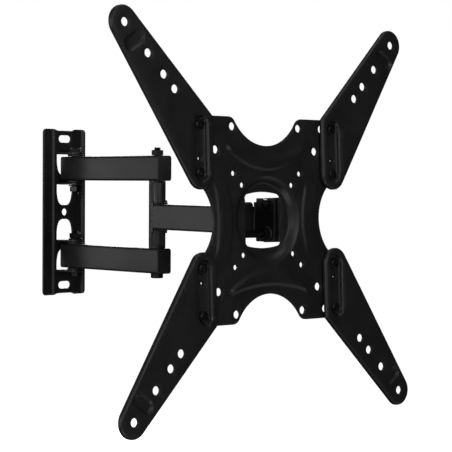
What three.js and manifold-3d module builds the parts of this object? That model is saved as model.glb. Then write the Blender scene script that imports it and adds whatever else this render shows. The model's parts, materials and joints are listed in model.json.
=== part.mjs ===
// Full motion television wall mount: a wall plate, two parallel inner links, one outer arm, a swivel
// and tilt head, and a bolt-pattern plate with four legs. Millimetres, +Z up. The wall is the plane
// Y = 0, the television side is -Y, and the origin is the middle of the wall plate's back.
import * as THREE from "three";
import { mergeVertices } from "three/addons/utils/BufferGeometryUtils.js";
import Module from "manifold-3d";

const wasm = await Module();
wasm.setup();

// ---- driving dimensions -------------------------------------------------------------------------

const GAP = 0.3; // between pieces that touch
const BORE_CLEARANCE = 0.3; // radial, round every bolt
const ARC_STEPS = 16; // segments of a full circle on small round pieces
const CURVE_STEPS = 7; // half the segments of each arc in an outline

// pose the object is stored in: degrees from straight out, negative towards -X
const LINK_YAW = -3.8;
const ARM_YAW = -12.9;
const HEAD_YAW = -2.8;
const HEAD_PITCH = -2.5; // negative looks up

// wall plate: a pressed sheet whose raised middle and rims stand in front of two lands on the wall
const WALL_HEIGHT = 210;
const WALL_WIDTH = 69;
const WALL_SHEET = 2.5;
const WALL_RELIEF = 2.4; // how far the middle stands in front of the lands
const WEB_HALF = 17; // half width of the raised middle
const RIM_WIDTH = 3.2;
const RAMP = 1.8; // sideways run of each pressed step
const NOTCH_DEPTH = 2.1; // top and bottom edges of the middle, lower than the lands
const NOTCH_HALF = 11;
const NOTCH_RUN = 7;
const WALL_CORNER = 5;
const SLOT_SPACING = 185;
const SLOT_LENGTH = 20;
const SLOT_WIDTH = 9.2;
const CENTRE_HOLE_RADIUS = 4.4;
const PIVOT_REACH = 20.5; // pivot axis in front of the raised middle
const LUG_ROOT_WIDTH = 26;
const LUG_TIP_RADIUS = 9;
const LUG_SHEET = 2.5;
const LUG_FLAP = 26; // length of the opening each lug was pressed out of

// rectangular tubes of the links and the outer arm
const TUBE_HEIGHT = 30;
const TUBE_WIDTH = 20;
const TUBE_WALL = 2;
const TUBE_CORNER = 3;
const LINK_LENGTH = 161; // wall pivot to elbow
const ARM_LENGTH = 160; // elbow to head swivel
const LINK_HEIGHT = 55; // middle of each link above and below the arm's middle
const LINK_BACK = 16; // link past the wall pivot
const LINK_FRONT = 12; // link past the elbow
const ARM_DROP = 2.5; // the outer arm's middle below the middle between the links
const CAP_WALL = 1.6; // plate of an end cap, outside the tube
const CAP_PLUG = 8; // depth of its plug, inside the tube
const COLUMN_RADIUS = 10;
const BEAD_RADIUS = 2; // weld bead between the column and the outer arm
const BEAD_HEIGHT = 39;
const DRAIN_RADIUS = 2.5; // in the underside of the closed outer tube

// bolts, nuts and washers
const BOLT_RADIUS = 4;
const BOLT_HEAD_FLATS = 13;
const BOLT_HEAD_HEIGHT = 5.3;
const NUT_HEIGHT = 6.5;
const BOLT_TAIL = 3; // thread past the nut
const WASHER_RADIUS = 8.5;
const WASHER_HEIGHT = 1.6;
const BUSH_RADIUS = 9.9;
const BUSH_HEIGHT = 2.2; // nylon, between moving pieces
const HEAD_BUSH_HEIGHT = 1.4;

// head: a bracket that swivels on the arm and carries the plate's two ears
const SWIVEL_SETBACK = 58; // swivel axis behind the plate's middle plane
const TILT_SETBACK = 22.6; // tilt axis behind the plate's middle plane
const TILT_RISE = -15.2; // tilt axis above the arm's middle
const LOCK_SETBACK = 23.5; // locking bolts behind the plate's middle plane
const LOCK_RISE = 17.8; // locking bolts above the arm's middle
const LOCK_TRAVEL_DOWN = 12; // degrees of the locking slots, from level
const LOCK_TRAVEL_UP = 5.5;
const LOCK_RADIUS = 3;
const LOCK_FLATS = 10;
const LOCK_HEAD_HEIGHT = 4;
const LOCK_NUT_HEIGHT = 5;
const BRACKET_SHEET = 3;
const BRACKET_HALF_HEIGHT = 24;
const WEB_BACK = 46; // bracket's rear face behind the plate's middle plane
const WEB_RELIEF = 2.2; // slit between the web and each bent flange's corner
const FLANGE_RADIUS = 12.5;
const CHEEK_FRONT = 12.5; // cheeks' front edges behind the plate's middle plane
const CHEEK_BACK = 41; // rear ends of their full height
const CHEEK_OUTER = 25; // half width over the cheeks
const TILT_BUSH_HEIGHT = 2.5;

// plate with the television bolt patterns
const PLATE_SIDE = 221;
const PLATE_SHEET = 2.2;
const TAB_CORNER = 8;
const END_NOTCH_RADIUS = 54; // top and bottom
const END_NOTCH_DEPTH = 30.5;
const SIDE_NOTCH_RADIUS = 50;
const SIDE_NOTCH_DEPTH = 30.8;
const DISH_RADIUS = 48;
const DISH_FLOOR_RADIUS = 40;
const DISH_DEPTH = 7.6;
const OPENING_HALF_WIDTH = 26.6;
const OPENING_CORNER_HEIGHT = 28;
const OPENING_HEIGHT = 32; // half height in the middle
const EAR_OUTER = 28; // half width over the ears
const EAR_HALF_HEIGHT = 24.5;
const EAR_BACK = 37.5; // ears' rear edges behind the plate's middle plane
const BEAD_RISE = 1.6; // pressed crescents, in front of the sheet
const CRESCENT_STEPS = 12;
const END_CRESCENT = { near: 55.6, far: 70, reach: 60, tipNear: 76, tipFar: 82 };
const SIDE_CRESCENT = { near: 53, far: 72.7, reach: 46, tipNear: 69, tipFar: 75 };
const HOLE_75 = [37.5, 37.5];
const HOLE_100 = [50, 50];
const SMALL_HOLE_RADIUS = 2.75;
const LARGE_HOLES = [
  [50, 100],
  [75, 75],
  [86, 100],
];
const LARGE_HOLE_RADIUS = 4.25;
const LEG_SLOT_HOLE = [100, 65]; // through the plate and each leg's channel
const LEG_SLOT_HOLE_RADIUS = 2.4;

// legs: tapered pressings, open at the back
const LEG_INNER = [100, 50];
const LEG_TIP = [200, 200];
const LEG_RADIUS = 17.5;
const LEG_CORNER_HEIGHT = 110; // where the inner edge turns from upright to sloping
const LEG_SHEET = 2;
const LEG_DEPTH = 5.2;
const LEG_FRONT = 7.7; // leg's front face in front of the plate's middle plane
const LEG_HOLES = [200, 170.5, 150, 135.6]; // along the diagonal
const LEG_HOLE_RADIUS = 4.5;
const CHANNEL = { x: 100, low: 50, high: 100, radius: 10 };
const DIMPLE = { x: 188, y: 182, length: 29, width: 16, depth: 2.6 };
const LEG_SCREWS = [50, 100]; // heights of the two screws
const SCREW_RADIUS = 3;
const SCREW_HEAD_RADIUS = 6;
const SCREW_HEAD_HEIGHT = 2.8;
const LEG_NUT_FLATS = 10;
const LEG_NUT_HEIGHT = 5;

// ---- places worked out from them ----------------------------------------------------------------

const webFront = -(WALL_SHEET + WALL_RELIEF);
const pivotY = webFront - PIVOT_REACH;
const linkTop = LINK_HEIGHT + TUBE_HEIGHT / 2;
const linkBottom = LINK_HEIGHT - TUBE_HEIGHT / 2;
const bushSpace = BUSH_HEIGHT + 2 * GAP;
const lugUnderTop = linkTop + bushSpace;
const lugOverBottom = linkBottom - bushSpace;
const earOuter = EAR_OUTER;
const earInner = earOuter - PLATE_SHEET;
const cheekInner = CHEEK_OUTER - BRACKET_SHEET;
const flangeInner = TUBE_HEIGHT / 2 + HEAD_BUSH_HEIGHT + 2 * GAP;
const flangeOuter = flangeInner + BRACKET_SHEET;
const legBack = LEG_FRONT - LEG_DEPTH;
const plateFront = PLATE_SHEET / 2;
const channelFloor = plateFront + GAP; // underside of the channel's floor

// ---- materials ----------------------------------------------------------------------------------

const steel = (color, roughness) =>
  new THREE.MeshStandardMaterial({ color, roughness, metalness: 0.3 });
const powderCoat = steel("#1b1b1c", 0.45);
const armCoat = steel("#242425", 0.4);
const fastener = steel("#1a1a1b", 0.35);
const nylon = new THREE.MeshStandardMaterial({ color: "#141415", roughness: 0.6, metalness: 0 });

// ---- geometry helpers ---------------------------------------------------------------------------

// a closed three.js geometry as a solid
function solid(geometry) {
  const bare = geometry.index ? geometry.toNonIndexed() : geometry.clone();
  bare.deleteAttribute("normal");
  bare.deleteAttribute("uv");
  const merged = mergeVertices(bare, 1e-4);
  return new wasm.Manifold(
    new wasm.Mesh({
      numProp: 3,
      vertProperties: new Float32Array(merged.attributes.position.array),
      triVerts: new Uint32Array(merged.index.array),
    }),
  );
}

// a solid as a named mesh
function mesh(name, body, material) {
  const data = body.getMesh();
  const geometry = new THREE.BufferGeometry();
  geometry.setAttribute("position", new THREE.BufferAttribute(data.vertProperties, 3));
  geometry.setIndex(new THREE.BufferAttribute(data.triVerts, 1));
  geometry.computeVertexNormals();
  const made = new THREE.Mesh(geometry, material.clone());
  made.name = name;
  return made;
}

const radians = (degrees) => (degrees * Math.PI) / 180;

const joined = (first, ...rest) => rest.reduce((sum, next) => sum.add(next), first);
const cutBy = (body, ...tools) => tools.reduce((rest, tool) => rest.subtract(tool), body);

// an outline drawn in X and Y, from one height to another
function slab(shape, low, high, steps = CURVE_STEPS) {
  const geometry = new THREE.ExtrudeGeometry(shape, {
    depth: high - low,
    bevelEnabled: false,
    curveSegments: steps,
  });
  return solid(geometry.translate(0, 0, low));
}

function box(x0, x1, y0, y1, z0, z1) {
  const geometry = new THREE.BoxGeometry(x1 - x0, y1 - y0, z1 - z0);
  return solid(geometry.translate((x0 + x1) / 2, (y0 + y1) / 2, (z0 + z1) / 2));
}

// an upright cylinder on the axis through (x, y)
function rod(radius, low, high, x = 0, y = 0, steps = ARC_STEPS) {
  const geometry = new THREE.CylinderGeometry(radius, radius, high - low, steps);
  return solid(geometry.rotateX(Math.PI / 2).translate(x, y, (low + high) / 2));
}

const hexagon = (flats, low, high, x = 0, y = 0) => rod(flats / Math.sqrt(3), low, high, x, y, 6);

// stands an X-Y drawing up: its Y becomes +Z and its +Z side faces -Y
const standing = (body) => body.rotate([90, 0, 0]);

// turns an upright solid's axis onto X, +Z going to +X
const sideways = (body) => body.rotate([0, 90, 0]);

function circle(x, y, radius) {
  const shape = new THREE.Shape();
  shape.absarc(x, y, radius, 0, 2 * Math.PI);
  return shape;
}

// an obround between two points
function obround(ax, ay, bx, by, radius) {
  const along = Math.atan2(by - ay, bx - ax);
  const shape = new THREE.Shape();
  shape.absarc(bx, by, radius, along - Math.PI / 2, along + Math.PI / 2);
  shape.absarc(ax, ay, radius, along + Math.PI / 2, along + 1.5 * Math.PI);
  shape.closePath();
  return shape;
}

function roundedRectangle(width, height, radius) {
  const x = width / 2;
  const y = height / 2;
  const shape = new THREE.Shape();
  shape.absarc(x - radius, y - radius, radius, 0, Math.PI / 2);
  shape.absarc(-x + radius, y - radius, radius, Math.PI / 2, Math.PI);
  shape.absarc(-x + radius, -y + radius, radius, Math.PI, 1.5 * Math.PI);
  shape.absarc(x - radius, -y + radius, radius, 1.5 * Math.PI, 2 * Math.PI);
  shape.closePath();
  return shape;
}

const polygon = (points) => new THREE.Shape(points.map(([x, y]) => new THREE.Vector2(x, y)));

// ---- wall plate ---------------------------------------------------------------------------------

// cross-section of the pressed sheet, X across and Y towards the television
function wallSection(grow) {
  const half = WALL_WIDTH / 2;
  const low = grow;
  const high = WALL_RELIEF + grow;
  const rimIn = half - RIM_WIDTH;
  const right = [
    [WEB_HALF, high],
    [WEB_HALF + RAMP, low],
    [rimIn - RAMP, low],
    [rimIn, high],
    [half, high],
  ];
  return [...right.map(([x, y]) => [-x, y]).reverse(), ...right];
}

function lug(upper) {
  const side = upper ? 1 : -1;
  const near = upper ? lugUnderTop : lugOverBottom;
  const [low, high] = [near, near + side * LUG_SHEET].sort((a, b) => a - b);
  const shape = new THREE.Shape();
  shape.moveTo(-LUG_ROOT_WIDTH / 2, webFront + WALL_SHEET);
  shape.lineTo(-LUG_TIP_RADIUS, pivotY);
  shape.absarc(0, pivotY, LUG_TIP_RADIUS, Math.PI, 2 * Math.PI);
  shape.lineTo(LUG_ROOT_WIDTH / 2, webFront + WALL_SHEET);
  shape.closePath();
  const bore = rod(BOLT_RADIUS + BORE_CLEARANCE, low - 1, high + 1, 0, pivotY);
  return slab(shape, low, high).subtract(bore);
}

// the bell-shaped opening that a lug was pressed out of, hanging below its straight edge
function bell(edge) {
  const half = LUG_ROOT_WIDTH / 2;
  const shape = new THREE.Shape();
  shape.moveTo(-half, edge);
  shape.lineTo(-half, edge - LUG_FLAP * 0.35);
  shape.bezierCurveTo(-half * 0.9, edge - LUG_FLAP, -half * 0.5, edge - LUG_FLAP, 0, edge - LUG_FLAP);
  shape.bezierCurveTo(half * 0.5, edge - LUG_FLAP, half * 0.9, edge - LUG_FLAP, half, edge - LUG_FLAP * 0.35);
  shape.lineTo(half, edge);
  shape.closePath();
  return shape;
}

function wallPlate() {
  const points = [...wallSection(WALL_SHEET), ...wallSection(0).reverse()];
  const sheet = slab(polygon(points.map(([x, y]) => [x, -y])), -WALL_HEIGHT / 2, WALL_HEIGHT / 2);
  const outline = slab(
    roundedRectangle(WALL_WIDTH, WALL_HEIGHT, WALL_CORNER), -1, WALL_SHEET + WALL_RELIEF + 1);
  const edge = WALL_HEIGHT / 2;
  const notch = polygon([
    [-NOTCH_HALF - NOTCH_RUN, edge + 1],
    [-NOTCH_HALF - NOTCH_RUN, edge],
    [-NOTCH_HALF, edge - NOTCH_DEPTH],
    [NOTCH_HALF, edge - NOTCH_DEPTH],
    [NOTCH_HALF + NOTCH_RUN, edge],
    [NOTCH_HALF + NOTCH_RUN, edge + 1],
  ]);
  const slotHalf = (SLOT_LENGTH - SLOT_WIDTH) / 2;
  const cuts = [circle(0, 0, CENTRE_HOLE_RADIUS), notch];
  cuts.push(obround(-slotHalf, SLOT_SPACING / 2, slotHalf, SLOT_SPACING / 2, SLOT_WIDTH / 2));
  cuts.push(bell(lugUnderTop), bell(lugOverBottom - LUG_SHEET));
  let plate = sheet.intersect(standing(outline));
  for (const shape of cuts) {
    const tool = standing(slab(shape, -1, WALL_SHEET + WALL_RELIEF + 1));
    plate = cutBy(plate, tool, tool.mirror([0, 0, 1]));
  }
  for (const upper of [true, false]) plate = joined(plate, lug(upper), lug(upper).mirror([0, 0, 1]));
  return plate;
}

// ---- bolts, nuts, washers -----------------------------------------------------------------------

// an upright bolt whose head's underside is at seat and whose shank ends at end
function bolt(seat, end, radius = BOLT_RADIUS, flats = BOLT_HEAD_FLATS, height = BOLT_HEAD_HEIGHT) {
  const away = Math.sign(seat - end);
  const [low, high] = [seat, seat + away * height].sort((a, b) => a - b);
  const [foot, top] = [seat + (away * height) / 2, end].sort((a, b) => a - b);
  return joined(hexagon(flats, low, high), rod(radius, foot, top));
}

const nut = (flats, radius, low, high) =>
  hexagon(flats, low, high).subtract(rod(radius + BORE_CLEARANCE, low - 1, high + 1));

const washer = (radius, low, high) =>
  rod(radius, low, high, 0, 0, 24).subtract(rod(BOLT_RADIUS + BORE_CLEARANCE, low - 1, high + 1));

// ---- tubes --------------------------------------------------------------------------------------

// a rectangular tube along Y, its outline rounded by TUBE_CORNER
function tube(y0, y1) {
  const bar = (inset, from, to) =>
    slab(
      roundedRectangle(
        TUBE_WIDTH - 2 * inset, TUBE_HEIGHT - 2 * inset, Math.max(TUBE_CORNER - inset, 0.8)),
      -to, -from, 3);
  return standing(bar(0, y0, y1).subtract(bar(TUBE_WALL, y0 - 1, y1 + 1)));
}

const crossBore = (y) =>
  rod(BOLT_RADIUS + BORE_CLEARANCE, -TUBE_HEIGHT, TUBE_HEIGHT, 0, y);

// an end cap for a tube that ends at y and goes on in the direction of inward
function endCap(y, inward) {
  const inside = TUBE_WALL + GAP;
  const from = y - inward * CAP_WALL;
  const place = (shape, a, b) => standing(slab(shape, -Math.max(a, b), -Math.min(a, b), 3));
  const face = place(
    roundedRectangle(TUBE_WIDTH, TUBE_HEIGHT, TUBE_CORNER), from - inward * GAP, y - inward * GAP);
  const plugLength = CAP_PLUG / 2;
  const plug = place(
    roundedRectangle(TUBE_WIDTH - 2 * inside, TUBE_HEIGHT - 2 * inside, 0.8),
    y - inward * CAP_WALL * 0.6, y + inward * plugLength);
  return joined(face, plug);
}

const link = () =>
  cutBy(tube(-LINK_LENGTH - LINK_FRONT, LINK_BACK), crossBore(0), crossBore(-LINK_LENGTH));

function outerArm() {
  const columnHalf = linkBottom - bushSpace;
  const column = rod(COLUMN_RADIUS, -columnHalf, columnHalf, 0, 0, 32);
  const bore = rod(BOLT_RADIUS + BORE_CLEARANCE, -columnHalf - 1, columnHalf + 1);
  const sleeve = rod(COLUMN_RADIUS, -TUBE_HEIGHT / 2, TUBE_HEIGHT / 2, 0, -ARM_LENGTH, 32);
  const beadX = TUBE_WIDTH / 2 - BEAD_RADIUS / 2;
  const beadY = -Math.sqrt(COLUMN_RADIUS ** 2 - beadX ** 2);
  const bead = (side) => rod(BEAD_RADIUS, -BEAD_HEIGHT / 2, BEAD_HEIGHT / 2, side * beadX, beadY, 10);
  const bar = joined(tube(-ARM_LENGTH, 0), sleeve, bead(1), bead(-1)).translate([0, 0, -ARM_DROP]);
  const drain = rod(DRAIN_RADIUS, -TUBE_HEIGHT, 0, 0, -ARM_LENGTH + 3 * COLUMN_RADIUS);
  return cutBy(joined(column, bar), bore, crossBore(-ARM_LENGTH), drain);
}

// ---- head ---------------------------------------------------------------------------------------
// Drawn round the swivel axis: the plate's middle plane is at Y = -SWIVEL_SETBACK.

const behindPlate = (setback) => setback - SWIVEL_SETBACK;

function swivelBracket() {
  const web = { front: behindPlate(WEB_BACK - BRACKET_SHEET), back: behindPlate(WEB_BACK) };
  const plate = box(-CHEEK_OUTER, CHEEK_OUTER, web.front, web.back, -flangeOuter, flangeOuter);
  const cheekFront = behindPlate(CHEEK_FRONT);
  const half = BRACKET_HALF_HEIGHT;
  const tall = box(cheekInner, CHEEK_OUTER, cheekFront, behindPlate(CHEEK_BACK), -half, half);
  const low = box(cheekInner, CHEEK_OUTER, cheekFront, web.back, -flangeOuter, flangeOuter);
  const cheek = joined(tall, low);
  const reach = cheekInner - WEB_RELIEF;
  const shape = new THREE.Shape();
  shape.moveTo(-reach, web.back);
  shape.lineTo(-reach, web.front);
  shape.lineTo(reach, web.front);
  shape.lineTo(reach, web.back);
  shape.absarc(0, 0, FLANGE_RADIUS, -Math.PI / 9, Math.PI + Math.PI / 9);
  shape.closePath();
  const flange = slab(shape, flangeInner, flangeOuter, 10);
  const slitEnd = flangeOuter - WEB_RELIEF;
  const relief = box(reach, cheekInner, web.front - 1, web.back + 1, slitEnd, flangeOuter + 1);
  const reliefs = [relief, relief.mirror([1, 0, 0])];
  const body = joined(plate, cheek, cheek.mirror([1, 0, 0]), flange, flange.mirror([0, 0, 1]));
  const swivelBore = rod(BOLT_RADIUS + BORE_CLEARANCE, -flangeOuter - 1, flangeOuter + 1);
  const across = (tool) => sideways(tool).translate([0, behindPlate(TILT_SETBACK), TILT_RISE]);
  const tiltBore = across(rod(BOLT_RADIUS + BORE_CLEARANCE, -CHEEK_OUTER - 1, CHEEK_OUTER + 1));
  const lockBore = sideways(rod(LOCK_RADIUS + BORE_CLEARANCE, -CHEEK_OUTER - 1, CHEEK_OUTER + 1));
  const lock = lockBore.translate([0, behindPlate(LOCK_SETBACK), LOCK_RISE]);
  return cutBy(body, swivelBore, tiltBore, lock, ...reliefs, ...reliefs.map((r) => r.mirror([0, 0, 1])));
}

// ---- plate --------------------------------------------------------------------------------------
// Drawn lying down: X right, Y up, +Z towards the television, origin in the middle of the sheet.

// where a notch of this radius, centred past the edge, meets the edge
const notchReach = (radius, depth) => Math.sqrt(radius ** 2 - (radius - depth) ** 2);

function plateOutline() {
  const half = PLATE_SIDE / 2;
  const c = TAB_CORNER;
  const quarter = Math.PI / 2;
  const endReach = notchReach(END_NOTCH_RADIUS, END_NOTCH_DEPTH);
  const sideReach = notchReach(SIDE_NOTCH_RADIUS, SIDE_NOTCH_DEPTH);
  const endCentre = half - END_NOTCH_DEPTH + END_NOTCH_RADIUS;
  const sideCentre = half - SIDE_NOTCH_DEPTH + SIDE_NOTCH_RADIUS;
  const endAngle = Math.acos(endReach / END_NOTCH_RADIUS);
  const sideAngle = Math.acos(sideReach / SIDE_NOTCH_RADIUS);
  const shape = new THREE.Shape();
  shape.absarc(half - c, half - c, c, 0, quarter);
  shape.absarc(0, endCentre, END_NOTCH_RADIUS, -endAngle, -Math.PI + endAngle, true);
  shape.absarc(-half + c, half - c, c, quarter, 2 * quarter);
  shape.absarc(-sideCentre, 0, SIDE_NOTCH_RADIUS, quarter - sideAngle, -quarter + sideAngle, true);
  shape.absarc(-half + c, -half + c, c, 2 * quarter, 3 * quarter);
  shape.absarc(0, -endCentre, END_NOTCH_RADIUS, Math.PI - endAngle, endAngle, true);
  shape.absarc(half - c, -half + c, c, 3 * quarter, 4 * quarter);
  shape.absarc(sideCentre, 0, SIDE_NOTCH_RADIUS, -quarter - sideAngle, -3 * quarter + sideAngle, true);
  shape.closePath();
  return shape;
}

// half of a pressed crescent's outline: its edges bend away from the middle and meet at a blunt tip
function crescent(bead, inset) {
  const { near, far, reach, tipNear, tipFar } = bead;
  const half = reach - inset;
  const row = (middle, tip) =>
    Array.from({ length: CRESCENT_STEPS + 1 }, (_, i) => {
      const x = half * ((2 * i) / CRESCENT_STEPS - 1);
      return [x, middle + (tip - middle) * (x / reach) ** 2];
    });
  return polygon([...row(near + inset, tipNear + inset), ...row(far - inset, tipFar - inset).reverse()]);
}

function dish() {
  const t = PLATE_SHEET / 2;
  const points = [
    [0, -DISH_DEPTH - t],
    [DISH_FLOOR_RADIUS + t, -DISH_DEPTH - t],
    [DISH_RADIUS + t, -t],
    [DISH_RADIUS + 2 * t, -t],
    [DISH_RADIUS + 2 * t, t],
    [DISH_RADIUS - t / 2, t],
    [DISH_FLOOR_RADIUS - t / 2, -DISH_DEPTH + t],
    [0, -DISH_DEPTH + t],
  ];
  const profile = points.map(([x, y]) => new THREE.Vector2(x, y));
  return solid(new THREE.LatheGeometry(profile, 48).rotateX(Math.PI / 2));
}

function opening() {
  const x = OPENING_HALF_WIDTH;
  const y = OPENING_CORNER_HEIGHT;
  const shape = new THREE.Shape();
  shape.moveTo(x, -y);
  shape.lineTo(x, y);
  shape.quadraticCurveTo(0, 2 * OPENING_HEIGHT - y, -x, y);
  shape.lineTo(-x, -y);
  shape.quadraticCurveTo(0, -2 * OPENING_HEIGHT + y, x, -y);
  return shape;
}

// an ear with the bores of its pivot and its locking bolt
function ear() {
  const floor = -DISH_DEPTH;
  const r = 8;
  const h = EAR_HALF_HEIGHT;
  const shape = new THREE.Shape(); // X stands for height, Y for the way to the television
  shape.moveTo(h, floor);
  shape.lineTo(-h, floor);
  shape.absarc(-h + r, -EAR_BACK + r, r, Math.PI, 1.5 * Math.PI);
  shape.absarc(h - r, -EAR_BACK + r, r, 1.5 * Math.PI, 2 * Math.PI);
  shape.closePath();
  const pivot = circle(TILT_RISE, -TILT_SETBACK, BOLT_RADIUS + BORE_CLEARANCE);
  shape.holes.push(pivot, lockSlot());
  const t = PLATE_SHEET / 2;
  const bend = box(earInner, earOuter + 1.5, -h, h, floor - t, floor + t);
  return joined(standUp(slab(shape, earInner, earOuter)), bend);
}

// the curved slot an ear slides by its locking bolt on, about the tilt axis: a plate that tilts down
// leaves its bolt nearer the slot's rear end
function lockSlot() {
  const back = LOCK_SETBACK - TILT_SETBACK;
  const up = LOCK_RISE - TILT_RISE;
  const reach = Math.hypot(back, up);
  const level = -Math.atan2(back, up);
  const from = level - radians(LOCK_TRAVEL_DOWN);
  const to = level + radians(LOCK_TRAVEL_UP);
  const radius = LOCK_RADIUS + BORE_CLEARANCE;
  const centre = [TILT_RISE, -TILT_SETBACK];
  const at = (angle) => [centre[0] + reach * Math.cos(angle), centre[1] + reach * Math.sin(angle)];
  const path = new THREE.Path();
  path.absarc(...centre, reach + radius, from, to);
  path.absarc(...at(to), radius, to, to + Math.PI);
  path.absarc(...centre, reach - radius, to, from, true);
  path.absarc(...at(from), radius, from + Math.PI, from + 2 * Math.PI);
  path.closePath();
  return path;
}

// turns a drawing whose X is height and Y the way forward so that its thickness runs along X
function standUp(body) {
  return body.transform([0, 1, 0, 0, 0, 0, 1, 0, 1, 0, 0, 0, 0, 0, 0, 1]);
}

const mirrored = ([x, y]) => [[x, y], [-x, y], [x, -y], [-x, -y]];

function vesaPlate() {
  const t = PLATE_SHEET / 2;
  let plate = slab(plateOutline(), -t, t, 12);
  plate = plate.subtract(rod(DISH_RADIUS + t / 2, -1 - t, 1 + t, 0, 0, 48));
  plate = joined(plate, dish());
  plate = plate.subtract(slab(opening(), -DISH_DEPTH - 2 * t, 1));
  for (const turn of [0, 90, 180, 270]) {
    const bead = turn % 180 ? SIDE_CRESCENT : END_CRESCENT;
    const raised = slab(crescent(bead, 0), 0, t + BEAD_RISE).rotate([0, 0, turn]);
    const hollow = slab(crescent(bead, PLATE_SHEET), -t - 1, BEAD_RISE - t).rotate([0, 0, turn]);
    plate = joined(plate, raised).subtract(hollow);
  }
  const drill = (spots, radius) => {
    for (const [x, y] of spots) plate = plate.subtract(rod(radius, -t - 1, t + BEAD_RISE + 1, x, y, 12));
  };
  drill([...mirrored(HOLE_75), ...mirrored(HOLE_100)], SMALL_HOLE_RADIUS);
  drill(LARGE_HOLES.flatMap(mirrored), LARGE_HOLE_RADIUS);
  drill(mirrored(LEG_SLOT_HOLE), LEG_SLOT_HOLE_RADIUS);
  drill(LEG_SCREWS.flatMap((y) => mirrored([CHANNEL.x, y])), SCREW_RADIUS + BORE_CLEARANCE);
  const oneEar = ear();
  return joined(plate, oneEar, oneEar.mirror([1, 0, 0]));
}

// ---- legs ---------------------------------------------------------------------------------------

// outline of the upper right leg, drawn in by inset
function legOutline(inset) {
  const r = LEG_RADIUS - inset;
  const [bx, by] = LEG_INNER;
  const [tx, ty] = LEG_TIP;
  const outward = Math.atan2(ty - by, tx - bx) - Math.PI / 2; // normal of the straight outer edge
  const corner = [bx - LEG_RADIUS, LEG_CORNER_HEIGHT];
  const toTip = Math.hypot(tx - corner[0], ty - corner[1]);
  const slope = Math.atan2(ty - corner[1], tx - corner[0]) + Math.asin(LEG_RADIUS / toTip);
  const inward = slope + Math.PI / 2; // normal of the sloping inner edge
  const drop = inset * Math.tan((Math.PI / 2 - slope) / 2);
  const shape = new THREE.Shape();
  shape.absarc(tx, ty, r, outward, inward);
  shape.lineTo(corner[0] + inset, corner[1] - drop);
  shape.absarc(bx, by, r, Math.PI, 2 * Math.PI + outward);
  shape.closePath();
  return shape;
}

function leg() {
  const floorTop = channelFloor + LEG_SHEET;
  const front = LEG_FRONT;
  const channel = (inset) =>
    obround(CHANNEL.x, CHANNEL.low, CHANNEL.x, CHANNEL.high, CHANNEL.radius - inset);
  const along = Math.atan2(LEG_TIP[1] - LEG_INNER[1], LEG_TIP[0] - LEG_INNER[0]);
  const dimple = (inset) => {
    const reach = (DIMPLE.length - DIMPLE.width) / 2;
    const dx = Math.cos(along + Math.PI / 2) * reach;
    const dy = Math.sin(along + Math.PI / 2) * reach;
    const { x, y, width } = DIMPLE;
    return obround(x - dx, y - dy, x + dx, y + dy, width / 2 - inset);
  };
  let body = slab(legOutline(0), legBack, front, 8);
  body = body.subtract(slab(legOutline(LEG_SHEET), legBack - 1, front - LEG_SHEET, 8));
  body = joined(body, slab(channel(0), channelFloor, front));
  body = body.subtract(slab(channel(LEG_SHEET), floorTop, front + 1));
  const dimpleTop = front - DIMPLE.depth;
  body = joined(body, slab(dimple(0), dimpleTop - LEG_SHEET, front));
  body = body.subtract(slab(dimple(LEG_SHEET), dimpleTop, front + 1));
  for (const d of LEG_HOLES) body = body.subtract(rod(LEG_HOLE_RADIUS, 0, front + 1, d, d));
  for (const y of LEG_SCREWS)
    body = body.subtract(rod(SCREW_RADIUS + BORE_CLEARANCE, 0, front + 1, CHANNEL.x, y));
  body = body.subtract(rod(LEG_SLOT_HOLE_RADIUS, 0, front + 1, ...LEG_SLOT_HOLE));
  return body;
}

function legScrew() {
  const seat = channelFloor + LEG_SHEET + GAP;
  const top = seat + SCREW_HEAD_HEIGHT;
  const end = -plateFront - GAP - LEG_NUT_HEIGHT - 1.5;
  const profile = [
    [0, end],
    [SCREW_RADIUS, end],
    [SCREW_RADIUS, seat],
    [SCREW_HEAD_RADIUS, seat],
    [SCREW_HEAD_RADIUS, seat + SCREW_HEAD_HEIGHT * 0.4],
    [SCREW_HEAD_RADIUS * 0.75, top - 0.3],
    [0, top],
  ].map(([x, y]) => new THREE.Vector2(x, y));
  const body = solid(new THREE.LatheGeometry(profile, ARC_STEPS).rotateX(Math.PI / 2));
  const bar = SCREW_HEAD_RADIUS * 0.6;
  const half = 0.6;
  const deep = top - SCREW_HEAD_HEIGHT * 0.6;
  return cutBy(
    body,
    box(-bar, bar, -half, half, deep, top + 1),
    box(-half, half, -bar, bar, deep, top + 1),
  );
}

// ---- assembly -----------------------------------------------------------------------------------

function group(parent, x, y, z, turnZ = 0, turnX = 0) {
  const made = new THREE.Group();
  made.position.set(x, y, z);
  made.rotation.order = "ZYX";
  made.rotation.set(radians(turnX), 0, radians(turnZ));
  parent.add(made);
  return made;
}

function add(parent, name, body, material, x = 0, y = 0, z = 0) {
  const made = mesh(name, body, material);
  made.position.set(x, y, z);
  parent.add(made);
}

const mount = new THREE.Group();
mount.name = "full_motion_tv_wall_mount";

const wall = group(mount, 0, 0, 0);
const links = group(wall, 0, pivotY, 0, LINK_YAW);
const arm = group(links, 0, -LINK_LENGTH, 0, ARM_YAW - LINK_YAW);
const head = group(arm, 0, -ARM_LENGTH, -ARM_DROP, HEAD_YAW - ARM_YAW);
const tilt = group(head, 0, behindPlate(TILT_SETBACK), TILT_RISE, 0, HEAD_PITCH);
const face = group(tilt, 0, -TILT_SETBACK, -TILT_RISE);

add(wall, "wall_plate", wallPlate(), powderCoat);

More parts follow.
